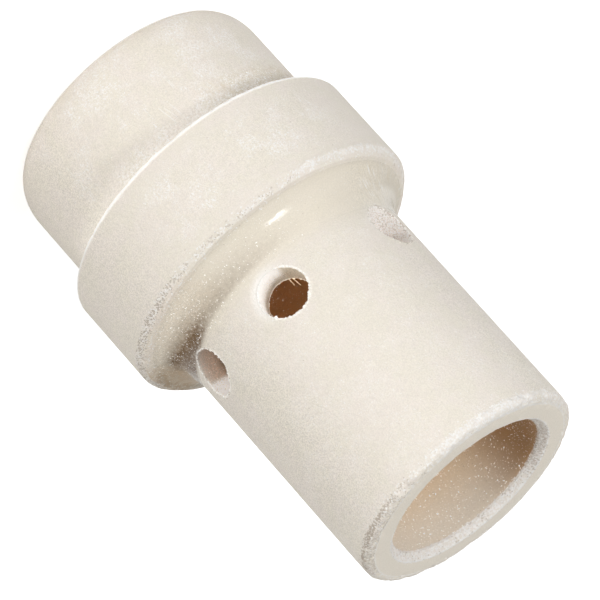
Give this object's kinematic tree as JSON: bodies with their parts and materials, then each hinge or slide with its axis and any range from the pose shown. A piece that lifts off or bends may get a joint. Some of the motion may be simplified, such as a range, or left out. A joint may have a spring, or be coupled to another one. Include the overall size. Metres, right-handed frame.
{
  "type": "gas diffuser",
  "caption": "Cream moulded gas diffuser sleeve for a gas-shielded welding torch: a short rear drum, a wider collar and a long bored front tube with radial gas ports.",
  "frame": {"origin": "centre of the rear rim", "axes": "+Z along the bore towards the front mouth; angles round the part start at +X and turn towards +Y"},
  "size_m": [0.0197, 0.0196, 0.0325],
  "materials": {
    "cream_moulding": "matt, fine-grained, glass-fibre filled"
  },
  "bodies": {
    "root": {"gas_diffuser": "cream_moulding"}
  },
  "joints": []
}
